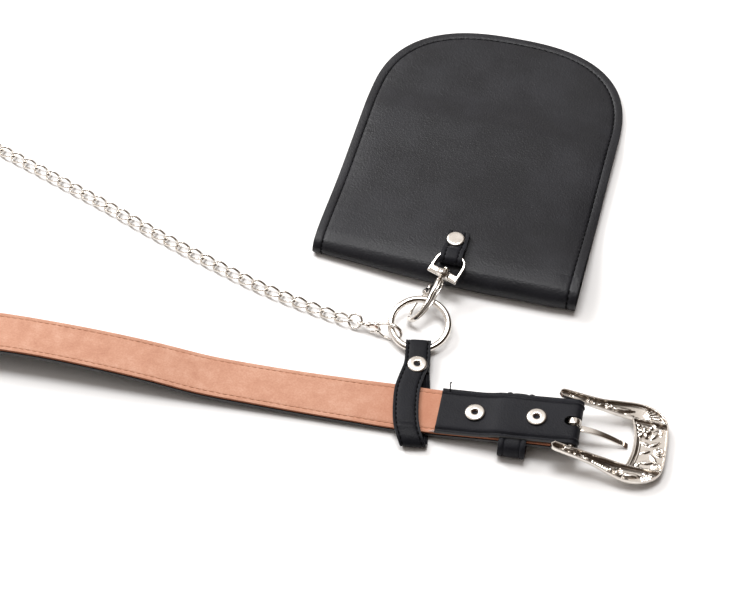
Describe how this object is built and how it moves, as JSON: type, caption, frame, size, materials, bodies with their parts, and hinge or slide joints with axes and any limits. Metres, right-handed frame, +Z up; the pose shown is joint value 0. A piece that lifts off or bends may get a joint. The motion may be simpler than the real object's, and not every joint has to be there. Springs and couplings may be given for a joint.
{
  "type": "leather waist bag with belt and chain",
  "caption": "Flat arched leather pouch on a snap hook and ring, hung by a strap from a lined belt with a cast buckle, and a curb chain clipped to the ring.",
  "frame": {"origin": "middle of the footprint of the whole laid-out bag, on the surface it lies on", "axes": "+X along the belt from its punched tip to the buckle, +Y from the belt towards the pouch's arched end, +Z up"},
  "size_m": [0.399, 0.279, 0.0181],
  "materials": {
    "leather": "black faux leather, fine pebble grain, soft broad sheen",
    "lining": "matt tan suede-like backing with fine mottling",
    "nickel": "polished nickel plate on cast zinc and steel"
  },
  "bodies": {
    "bag": {"pouch_back": "leather", "pouch_front": "leather", "pouch_tab": "leather", "hanger_loop": "leather", "belt_outer": "leather", "keeper_loop": "leather", "belt_lining": "lining", "pouch_rivet": "nickel", "hook_eye": "nickel", "hook_body": "nickel", "o_ring": "nickel", "hanger_rivet": "nickel", "belt_rivet_1": "nickel", "belt_rivet_2": "nickel", "chain_link_01": "nickel", "chain_link_02": "nickel", "chain_link_03": "nickel", "chain_link_04": "nickel", "chain_link_05": "nickel", "chain_link_06": "nickel", "chain_link_07": "nickel", "chain_link_08": "nickel", "chain_link_09": "nickel", "chain_link_10": "nickel", "chain_link_11": "nickel", "chain_link_12": "nickel", "chain_link_13": "nickel", "chain_link_14": "nickel", "chain_link_15": "nickel", "chain_link_16": "nickel", "chain_link_17": "nickel", "chain_link_18": "nickel", "chain_link_19": "nickel", "chain_link_20": "nickel", "chain_link_21": "nickel", "chain_link_22": "nickel", "chain_link_23": "nickel", "chain_link_24": "nickel", "chain_link_25": "nickel", "chain_link_26": "nickel", "chain_link_27": "nickel", "chain_link_28": "nickel", "chain_link_29": "nickel", "chain_link_30": "nickel", "chain_ring": "nickel", "clasp_eye": "nickel", "clasp_body": "nickel", "chain_end_ring": "nickel", "chain_end_clasp": "nickel"},
    "buckle": {"buckle_frame": "nickel"},
    "prong": {"buckle_prong": "nickel"},
    "hook_lever": {"hook_gate": "nickel"},
    "clasp_lever": {"clasp_gate": "nickel"}
  },
  "joints": [
    {"name": "buckle_hinge", "type": "hinge", "parent": "bag", "child": "buckle", "pos_m": [0.15574, -0.10866, 0.01131], "axis": [-0.0623, 0.9981, 0], "range_deg": [-100, 60]},
    {"name": "prong_hinge", "type": "hinge", "parent": "bag", "child": "prong", "pos_m": [0.15574, -0.10866, 0.01131], "axis": [-0.0623, 0.9981, 0], "range_deg": [-45, 60]},
    {"name": "hook_gate_hinge", "type": "hinge", "parent": "bag", "child": "hook_lever", "pos_m": [0.07084, -0.04651, 0.00716], "axis": [0.7192, -0.0503, -0.693], "range_deg": [-16, 0], "stiffness_Nm_per_rad": 0.004, "springref_deg": 5.73},
    {"name": "clasp_gate_hinge", "type": "hinge", "parent": "bag", "child": "clasp_lever", "pos_m": [0.0529, -0.07167, 0.00293], "axis": [-0.163, -0.9255, 0.3418], "range_deg": [0, 7], "stiffness_Nm_per_rad": 0.002, "springref_deg": -5.73}
  ]
}
